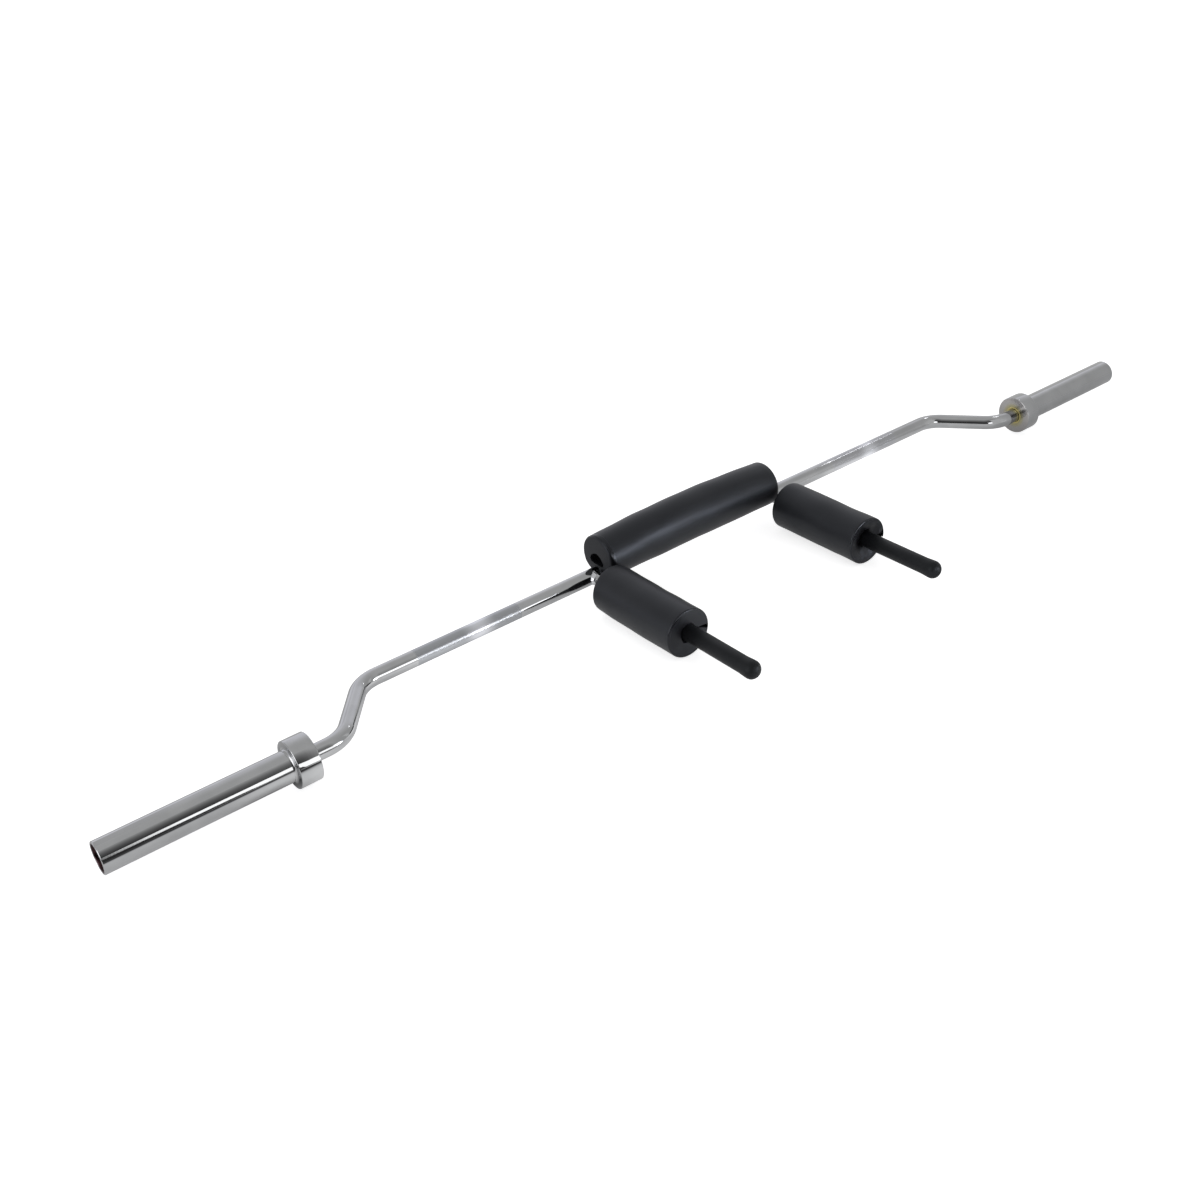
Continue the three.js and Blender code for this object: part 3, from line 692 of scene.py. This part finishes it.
pad_foam = foam("pad_foam", front_rim, RIM_POLISH)
for label in ("left", "right"):
    low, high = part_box(label + "_shoulder_pad")
    pad_x = (low.x + high.x) / 2
    pad_z = high.z - PAD_RADIUS
    bore = ARM_RADIUS + PUSH_FIT
    back, front = high.y, low.y
    mouth, mouth_rise = MOUTHS[label]
    profile = quarter(back - PAD_EDGE, PAD_RADIUS - PAD_EDGE, PAD_EDGE, 90, 0)
    for row in range(1, PAD_ROWS):
        profile.append((back - PAD_EDGE + (front - back + 2 * PAD_EDGE) * row / PAD_ROWS, PAD_RADIUS))
    profile += quarter(front + PAD_EDGE, PAD_RADIUS - PAD_EDGE, PAD_EDGE, 0, -90)
    for share in MOUTH_STEPS:
        opened = (1 - share) * math.cos(share * math.pi / 2)
        profile.append((front + MOUTH_DEPTH * share, bore + (mouth - bore) * opened))
    profile += [(back - BACK_HOLE_EDGE, bore), (back, bore + BACK_HOLE_FLARE)]
    profile += [(back, BACK_DISC), profile[0]]
    pad = turned(label + "_shoulder_foam", profile, "Y", (pad_x, 0, pad_z), PAD_SIDES)

    inner, inner_rise, outer, outer_rise, splay = SLITS[label]
    slope = (outer_rise - inner_rise) / (outer - inner)
    whole_slit = (back + WEDGE_LEAD, SLIT_START, SLIT_END, SLIT_CLOSED)
    splayed_end = (front + SLIT_SPLAY, inner, outer, splay)
    for end, first, last, wide in (whole_slit, splayed_end):
        start = front - WEDGE_LEAD
        bpy.ops.object.select_all(action="DESELECT")
        bpy.ops.mesh.primitive_cube_add(
            size=1, location=(pad_x + (first + last) / 2, (start + end) / 2, pad_z)
        )
        wedge = bpy.context.object
        wedge.scale = (last - first, end - start, 1)
        bpy.ops.object.transform_apply()
        for vertex in wedge.data.vertices:
            place = vertex.co.x - pad_x
            closed = place < (first + last) / 2 or vertex.co.y > front
            opening = SLIT_CLOSED if closed else wide * WEDGE_GAIN
            rise = inner_rise + slope * (place - inner)
            vertex.co.z = pad_z + rise + math.copysign(opening / 2, vertex.co.z - pad_z)
        cut(pad, wedge)
    for vertex in pad.data.vertices:
        out = Vector((vertex.co.x - pad_x, 0, vertex.co.z - pad_z))
        wave = noise.noise(vertex.co * WAVE_SCALE + Vector((0, 0, pad_x * WAVE_SHIFT))) * WAVE_HEIGHT
        near_front = max(0, 1 - (vertex.co.y - front) / TEAR_LENGTH)
        near_mouth = near_front * max(0, 1 - out.length / TEAR_RADIUS)
        tear = noise.noise(Vector((out.x, 0, out.z)) * TEAR_SCALE + Vector((pad_x * TEAR_SHIFT, 0, 0)))
        out_way = out.normalized()
        vertex.co += out_way * (wave * out.length / PAD_RADIUS + near_mouth * tear * mouth * TEAR_SPREAD)
        vertex.co.y += near_mouth * tear * TEAR_RAG
        vertex.co.z = max(vertex.co.z + near_mouth * mouth_rise, PAD_FLOOR)
    smooth(pad, 40)
    dressed(pad, "frame", pad_foam, "foam", label + "_shoulder_pad")


# Neck pad: the same foam, longer and bowed upwards, with its bore opened downwards over the
# shaft, so that the shaft lies in the slot and the bore stays as a hollow above it. The rim
# of the left end is round towards the front and tight elsewhere.
NECK_RADIUS = 0.0415
NECK_RISE = 0.030
NECK_BOW = 0.0085
NECK_ROWS = 64
NECK_SIDES = 144
NECK_EDGE, NECK_RIDGE, RIDGE_STEP = 0.0095, 0.0008, 0.0011
RIDGE_AT = 0.95
NECK_POLE = 0.0001
EDGE_LENGTH, EDGE_DEPTH, TIGHT_EDGE = 1.02, 1.2, 0.4
# The bore's outline, in places behind the shaft's axis and above it.
NECK_BORE = [
    (0.021, 0.024), (0.017, 0.031), (0.009, 0.0365), (0.001, 0.0385), (-0.006, 0.036), (-0.012, 0.031),
    (-0.0165, 0.024), (-0.0155, 0.018), (-0.010, 0.0165), (0.010, 0.0165), (0.018, 0.018),
]
CHANNEL_SIDES, CHANNEL_GAP = 96, 0.0003
OVERRUN = 1.1
NOTCH_SIDES, NOTCH_RADIUS, NOTCH_DEPTH = 64, 0.0135, 0.06
NECK_WAVE_SCALE = 20
LIP_START, LIP_END, LIP_POLISH = (0.002, 0.003), 1.2, 0.16
low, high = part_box("neck_pad")
half = high.x
neck_z = BAR_Z + NECK_RISE
ridge_at = half - NECK_EDGE * RIDGE_AT
profile = [(-half, NECK_POLE)]
profile += quarter(-half + NECK_EDGE, NECK_RADIUS - RIDGE_STEP - NECK_EDGE, NECK_EDGE, -90, -24, 9)
profile += quarter(-ridge_at + NECK_RIDGE, NECK_RADIUS - NECK_RIDGE, NECK_RIDGE, -60, 0, 4)
far_end = [(-place, radius) for place, radius in reversed(profile[:-1])]
for row in range(1, NECK_ROWS):
    profile.append((-ridge_at + NECK_RIDGE + 2 * (ridge_at - NECK_RIDGE) * row / NECK_ROWS, NECK_RADIUS))
neck = turned("neck_foam", profile + far_end, "X", (0, SHAFT_Y, neck_z), NECK_SIDES)
for vertex in neck.data.vertices:
    out = Vector((0, vertex.co.y - SHAFT_Y, vertex.co.z - neck_z))
    to_end, to_skin = half - abs(vertex.co.x), NECK_RADIUS - out.length
    if to_end < NECK_EDGE * EDGE_LENGTH and to_skin < NECK_EDGE * EDGE_DEPTH:
        front = max(0, min(1, (-out.y - 2 * out.z) / NECK_RADIUS)) if vertex.co.x < 0 else 0
        tight = TIGHT_EDGE + (1 - TIGHT_EDGE) * front
        vertex.co.x = math.copysign(half - to_end * tight, vertex.co.x)
        vertex.co -= out.normalized() * (to_skin * tight - to_skin)
    bow = NECK_BOW * (1 - (vertex.co.x / half) ** 2)
    height = ((vertex.co.z - neck_z) / NECK_RADIUS + 1) / 2
    vertex.co.z += bow * height
cut(neck, rod(
    CHANNEL_SIDES, SHAFT_RADIUS + CHANNEL_GAP, 2 * OVERRUN * half,
    (0, SHAFT_Y, BAR_Z), (0, math.pi / 2, 0),
))
bpy.ops.object.select_all(action="DESELECT")
bpy.ops.mesh.primitive_circle_add(
    vertices=len(NECK_BORE), fill_type="NGON",
    location=(-OVERRUN * half, 0, 0), rotation=(0, math.pi / 2, 0),
)
hollow = bpy.context.object
bpy.ops.object.transform_apply()
for vertex, (behind, above) in zip(hollow.data.vertices, NECK_BORE):
    vertex.co.y, vertex.co.z = SHAFT_Y + behind, BAR_Z + above
bpy.ops.object.mode_set(mode="EDIT")
bpy.ops.mesh.extrude_region_move(TRANSFORM_OT_translate={"value": (2 * OVERRUN * half, 0, 0)})
close(hollow)
bpy.ops.object.mode_set(mode="OBJECT")
cut(neck, hollow)
for label in ("left", "right"):
    arm_low, arm_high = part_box(label + "_arm_rod")
    notch_at = ((arm_low.x + arm_high.x) / 2, SHAFT_Y - NOTCH_DEPTH / 2, BAR_Z)
    cut(neck, rod(NOTCH_SIDES, NOTCH_RADIUS, NOTCH_DEPTH, notch_at, (math.pi / 2, 0, 0)))
for vertex in neck.data.vertices:
    out = Vector((0, vertex.co.y - SHAFT_Y, vertex.co.z - neck_z))
    vertex.co += out * (noise.noise(vertex.co * NECK_WAVE_SCALE) * WAVE_HEIGHT / NECK_RADIUS)
smooth(neck, 40)


def left_rim(place):
    """The rounded edge at the left end of the neck pad."""
    from_end = place.part("X") + half
    return from_end.ramp(*LIP_START) * (1 - from_end.ramp(NECK_EDGE, NECK_EDGE * LIP_END))


dressed(neck, "frame", foam("neck_foam", left_rim, LIP_POLISH), "foam", "neck_pad")


# Hand grips: closed rubber sleeves pushed over the ends of the arms, swelling towards a
# rounded tip so that the hand can't slide off.
GRIP_RADIUS, GRIP_BULB, GRIP_POLE = 0.01475, 0.0158, 0.00001
GRIP_BULB_LENGTH, GRIP_TIP_LENGTH = 0.022, 0.014
GRIP_EDGE = 0.0006
GRIP_SIDES = 96
GRIP_STEPS = 14
RUBBER_BLACK, RUBBER_ROUGH = (0.006, 0.0062, 0.007), 0.5
RUBBER_DARK, RUBBER_LIGHT = (0.005, 0.0052, 0.006, 1), (0.0075, 0.0078, 0.0085, 1)
RUBBER_SHINE, RUBBER_TINT = 0.22, (0.88, 0.94, 1.0, 1)
RUBBER_GRAIN, RUBBER_CLOUD = 1800.0, 25.0
grip_rubber, sockets, wire = principled("grip_rubber", RUBBER_BLACK, 0, RUBBER_ROUGH)
place = wire.node("TexCoord", output="Object")
grain = wire.node("TexNoise", (), {"Vector": place, "Scale": RUBBER_GRAIN, "Detail": 2.0})
cloud = wire.node("TexNoise", (), {"Vector": place, "Scale": RUBBER_CLOUD, "Detail": 3.0})
cloud.ramp(*MOTTLED).blend(RUBBER_DARK, RUBBER_LIGHT).feed(sockets["Base Color"])
sockets["Specular IOR Level"].default_value = RUBBER_SHINE
sockets["Specular Tint"].default_value = RUBBER_TINT
(cloud * 0.12 + grain * 0.08 + 0.38).feed(sockets["Roughness"])
wire.node("Bump", (), {"Strength": 0.2, "Distance": 0.0002, "Height": grain}).feed(sockets["Normal"])
for label in ("left", "right"):
    low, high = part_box(label + "_hand_grip")
    grip_x = (low.x + high.x) / 2
    tip = low.y + GRIP_TIP_LENGTH
    bulb = tip + GRIP_BULB_LENGTH
    profile = [
        (high.y, ARM_RADIUS + PUSH_FIT), (high.y, GRIP_RADIUS - GRIP_EDGE),
        (high.y - GRIP_EDGE, GRIP_RADIUS), (bulb, GRIP_RADIUS),
    ]
    for step in range(1, GRIP_STEPS + 1):
        share = step / GRIP_STEPS
        swell = share * share * (3 - 2 * share)
        profile.append((bulb + (tip - bulb) * share, GRIP_RADIUS + (GRIP_BULB - GRIP_RADIUS) * swell))
    for step in range(1, GRIP_STEPS):
        angle = math.radians(90) * step / GRIP_STEPS
        profile.append((tip - GRIP_TIP_LENGTH * math.sin(angle), GRIP_BULB * math.cos(angle)))
    profile.append((low.y, GRIP_POLE))
    grip = turned(label + "_rubber_grip", profile, "Y", (grip_x, 0, BAR_Z), GRIP_SIDES)
    smooth(grip, 50)
    dressed(grip, "frame", grip_rubber, "rubber", label + "_hand_grip")


# Sleeves: 50 mm steel tubes that take the plates, chromed, open at the end, each with a
# heavy chromed collar shrunk over its inner end as the stop for the plates.
SIDES = (("left", -1), ("right", 1))
SLEEVE_SIDES = 160
SLEEVE_RADIUS, SLEEVE_BORE, SLEEVE_LIP = 0.025, 0.021, 0.001
SLEEVE_MOUTH, MOUTH_TAPER = 0.0226, 0.003
LIP_BACK, LIP_OUTSIDE, LIP_INSIDE = 0.0003, 0.0005, 0.0004
COLLAR_RADIUS, COLLAR_EDGE, COLLAR_WEB, COLLAR_FILLET = 0.038, 0.0016, 0.007, 0.0042
COLLAR_FACE, COLLAR_INNER = 0.853, 0.8181
BUSH_NOSE = 0.0175
SEAT_GAP = 0.0002
SLEEVE_GRAIN, SLEEVE_DENT = (500, 12, 12), 0.0002
COLLAR_GRAIN, COLLAR_DENT = (400, 20, 20), 0.00015
BORE_RED, BORE_ROUGH, BORE_EDGE = (0.035, 0.018, 0.02, 1), 0.25, (0.0219, 0.0224)
FACE_GREY, FACE_ROUGH, FACE_DEPTH = (0.41, 0.40, 0.39, 1), 0.20, 0.0002
# A painted glow: a yellowish-brown ring round the bush on each collar's inner face.
PAINTED_GLOW_BROWN, PAINTED_GLOW_ROUGH, PAINTED_GLOW_EDGE = (0.40, 0.37, 0.22, 1), 0.25, (0.0185, 0.0285)


def from_axis(place):
    """How far a place is from the axis that both sleeves turn on."""
    shift = {"Vector": place, "Location": (0, -SLEEVE_Y, -BAR_Z), "Scale": (0, 1, 1)}
    centred = place.node("Mapping", (), shift)
    return place.node("VectorMath", {"operation": "LENGTH"}, {0: centred}, 1)


def in_bore(place):
    """The inside of a sleeve."""
    return 1 - from_axis(place).ramp(*BORE_EDGE)


def on_inner_face(place):
    """The face of a collar that looks inwards."""
    from_middle = place.node("Math", {"operation": "ABSOLUTE"}, {0: place.part("X")})
    return 1 - from_middle.ramp(COLLAR_INNER, COLLAR_INNER + FACE_DEPTH)


def painted_bush_glow(place):
    """A painted yellow glow on that face, round the bush."""
    return on_inner_face(place) * (1 - from_axis(place).ramp(*PAINTED_GLOW_EDGE))


def span(name):
    """A node's inner and outer place along the bar, measured from the middle."""
    low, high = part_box(name)
    return sorted((abs(low.x), abs(high.x)))


def lathe(name, side, profile, sides=SLEEVE_SIDES):
    """A piece on the axis of the sleeves; its places are measured outwards from the middle."""
    outwards = [(side * place, radius) for place, radius in profile]
    return turned(name, outwards, "X", (0, SLEEVE_Y, BAR_Z), sides)


sleeve_chrome = chrome("sleeve_chrome", SLEEVE_GRAIN, SLEEVE_DENT, (in_bore, BORE_RED, BORE_ROUGH))
# The inner faces of the collars carry a painted glow round the bush.
collar_chrome = chrome(
    "collar_chrome", COLLAR_GRAIN, COLLAR_DENT,
    (on_inner_face, FACE_GREY, FACE_ROUGH), (painted_bush_glow, PAINTED_GLOW_BROWN, PAINTED_GLOW_ROUGH),
)
for label, side in SIDES:
    inner, outer = span(label + "_sleeve_tube")
    tube = lathe(label + "_chromed_sleeve", side, [
        (inner, SLEEVE_RADIUS - SLEEVE_LIP), (inner + SLEEVE_LIP, SLEEVE_RADIUS),
        (outer - SLEEVE_LIP, SLEEVE_RADIUS), (outer - LIP_BACK, SLEEVE_RADIUS - LIP_OUTSIDE),
        (outer, SLEEVE_RADIUS - SLEEVE_LIP), (outer, SLEEVE_MOUTH),
        (outer - LIP_BACK, SLEEVE_MOUTH - LIP_INSIDE), (outer - MOUTH_TAPER, SLEEVE_BORE),
        (inner, SLEEVE_BORE), (inner, SLEEVE_RADIUS - SLEEVE_LIP),
    ])
    smooth(tube)
    dressed(tube, label + "_sleeve", sleeve_chrome, "chrome", label + "_sleeve_tube")

    inner, outer = span(label + "_sleeve_collar")
    seat = SLEEVE_RADIUS + SEAT_GAP
    hole = BUSH_NOSE + SEAT_GAP
    profile = [(inner, hole)]
    profile += quarter(inner + COLLAR_EDGE, COLLAR_RADIUS - COLLAR_EDGE, COLLAR_EDGE, -90, 0)
    profile += quarter(COLLAR_FACE - COLLAR_EDGE, COLLAR_RADIUS - COLLAR_EDGE, COLLAR_EDGE, 0, 90)
    profile += quarter(COLLAR_FACE + COLLAR_FILLET, seat + COLLAR_FILLET, COLLAR_FILLET, -90, -180)
    profile += [(inner + COLLAR_WEB, seat), (inner + COLLAR_WEB, hole), (inner, hole)]
    collar = lathe(label + "_chromed_collar", side, profile)
    smooth(collar)
    dressed(collar, label + "_sleeve", collar_chrome, "chrome", label + "_sleeve_collar")


# Bushes: rings turned from bronze and pressed into each sleeve to run on the bar's end. The
# nose of the inner one passes through the collar and shows as a brassy ring round the shaft.
NOSE_LENGTH, NOSE_EDGE, NOSE_BEVEL = 0.0083, 0.0005, 0.0004
BUSH_STEP, BUSH_EDGE = 0.007, 0.001
BUSH_RADIUS = SLEEVE_BORE - SEAT_GAP
BUSH_MOUTH = SHAFT_RADIUS + 0.0006
BUSH_HOLE = JOURNAL_RADIUS + 0.0003
BRONZE_BROWN, BRONZE_ROUGH, BRONZE_TURNS = (0.52, 0.43, 0.19), 0.35, 3000
BRONZE_DARK, BRONZE_LIGHT = (0.48, 0.41, 0.16, 1), (0.70, 0.60, 0.27, 1)
bronze, sockets, wire = principled("bush_bronze", BRONZE_BROWN, 1, BRONZE_ROUGH)
place = wire.node("TexCoord", output="Object")
turning = from_axis(place) * BRONZE_TURNS + place.part("X") * BRONZE_TURNS
rings = wire.node("TexNoise", {"noise_dimensions": "1D"}, {"W": turning, "Detail": 2.0})
rings.ramp(*MOTTLED).blend(BRONZE_DARK, BRONZE_LIGHT).feed(sockets["Base Color"])
(rings * 0.2 + 0.25).feed(sockets["Roughness"])
wire.node("Bump", (), {"Strength": 0.3, "Distance": 0.0001, "Height": rings}).feed(sockets["Normal"])
for label, side in SIDES:
    inner, outer = span(label + "_inner_bush")
    bush = lathe(label + "_bronze_inner_bush", side, [
        (inner + NOSE_BEVEL, BUSH_MOUTH), (inner, BUSH_MOUTH + NOSE_BEVEL),
        (inner, BUSH_NOSE - NOSE_EDGE), (inner + NOSE_EDGE, BUSH_NOSE),
        (inner + NOSE_LENGTH, BUSH_NOSE), (inner + NOSE_LENGTH, BUSH_RADIUS),
        (outer, BUSH_RADIUS), (outer, BUSH_HOLE), (inner + BUSH_STEP, BUSH_HOLE),
        (inner + BUSH_STEP, BUSH_MOUTH), (inner + NOSE_BEVEL, BUSH_MOUTH),
    ])
    smooth(bush)
    dressed(bush, label + "_sleeve", bronze, "bronze", label + "_inner_bush")

    inner, outer = span(label + "_outer_bush")
    bush = lathe(label + "_bronze_outer_bush", side, [
        (inner, BUSH_HOLE), (inner, BUSH_RADIUS - BUSH_EDGE), (inner + BUSH_EDGE, BUSH_RADIUS),
        (outer - BUSH_EDGE, BUSH_RADIUS), (outer, BUSH_RADIUS - BUSH_EDGE), (outer, BUSH_HOLE),
        (inner, BUSH_HOLE),
    ])
    smooth(bush)
    dressed(bush, label + "_sleeve", bronze, "bronze", label + "_outer_bush")


# End screws and washers: zinc-plated steel, inside the sleeves. A hexagon screw in the end
# of the bar holds a wide washer that keeps the sleeve on. The thrust washer and the lock
# washer keep the shape of the CAD and get the same plating.
WASHER_RADIUS, WASHER_EDGE = 0.017, 0.0004
HEAD_HEIGHT, HEAD_CORNER, HEAD_FACE, HEAD_SLOPE = 0.0075, 0.01097, 0.0097, 0.0012
ROUNDING_BACK, ROUNDING_RADIUS, HEAD_BEVEL = 0.001, 0.014, 0.0003
SHANK_RADIUS, SHANK_SINK, SHANK_POINT, POINT_RADIUS = 0.006, 0.0005, 0.0008, 0.0052
ZINC_GREY, ZINC_ROUGH, ZINC_FROST = (0.45, 0.45, 0.46), 0.4, 300.0
ZINC_DARK, ZINC_LIGHT = (0.36, 0.36, 0.36, 1), (0.5, 0.5, 0.51, 1)
zinc, sockets, wire = principled("washer_zinc", ZINC_GREY, 1, ZINC_ROUGH)
place = wire.node("TexCoord", output="Object")
frost = wire.node("TexNoise", (), {"Vector": place, "Scale": ZINC_FROST, "Detail": 4.0})
frost.ramp(*MOTTLED).blend(ZINC_DARK, ZINC_LIGHT).feed(sockets["Base Color"])
(frost * 0.25 + 0.25).feed(sockets["Roughness"])
wire.node("Bump", (), {"Strength": 0.2, "Distance": 0.0001, "Height": frost}).feed(sockets["Normal"])
for label, side in SIDES:
    inner, outer = span(label + "_retaining_washer")
    washer = lathe(label + "_zinc_washer", side, [
        (inner, SCREW_HOLE_RADIUS), (inner, WASHER_RADIUS - WASHER_EDGE),
        (inner + WASHER_EDGE, WASHER_RADIUS), (outer - WASHER_EDGE, WASHER_RADIUS),
        (outer, WASHER_RADIUS - WASHER_EDGE), (outer, SCREW_HOLE_RADIUS),
        (inner, SCREW_HOLE_RADIUS),
    ])
    smooth(washer)
    dressed(washer, "frame", zinc, "steel", label + "_retaining_washer")

    inner, outer = span(label + "_end_screw")
    seat = outer - HEAD_HEIGHT
    profile = [(seat, SHANK_RADIUS), (seat, HEAD_CORNER), (outer, HEAD_CORNER)]
    screw = lathe(label + "_zinc_screw", side, profile, sides=6)
    rounding = lathe("screw_rounding", side, [
        (seat - ROUNDING_BACK, ROUNDING_RADIUS), (outer - HEAD_SLOPE, HEAD_CORNER),
        (outer, HEAD_FACE),
    ])
    modified(screw, "BOOLEAN", object=rounding, operation="INTERSECT", solver="EXACT")
    bpy.data.objects.remove(rounding)
    modified(
        screw, "BEVEL", width=HEAD_BEVEL, segments=2,
        limit_method="ANGLE", angle_limit=math.radians(30),
    )
    smooth(screw)
    shank = lathe("screw_shank", side, [
        (seat + SHANK_SINK, SHANK_RADIUS), (inner + SHANK_POINT, SHANK_RADIUS),
        (inner, POINT_RADIUS),
    ])
    smooth(shank)
    bpy.ops.object.select_all(action="DESELECT")
    shank.select_set(True)
    screw.select_set(True)
    bpy.context.view_layer.objects.active = screw
    bpy.ops.object.join()
    dressed(screw, "frame", zinc, "steel", label + "_end_screw")

    for name in (label + "_thrust_washer", label + "_lock_washer"):
        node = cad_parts[name]
        node.data.materials.clear()
        node.data.materials.append(zinc)
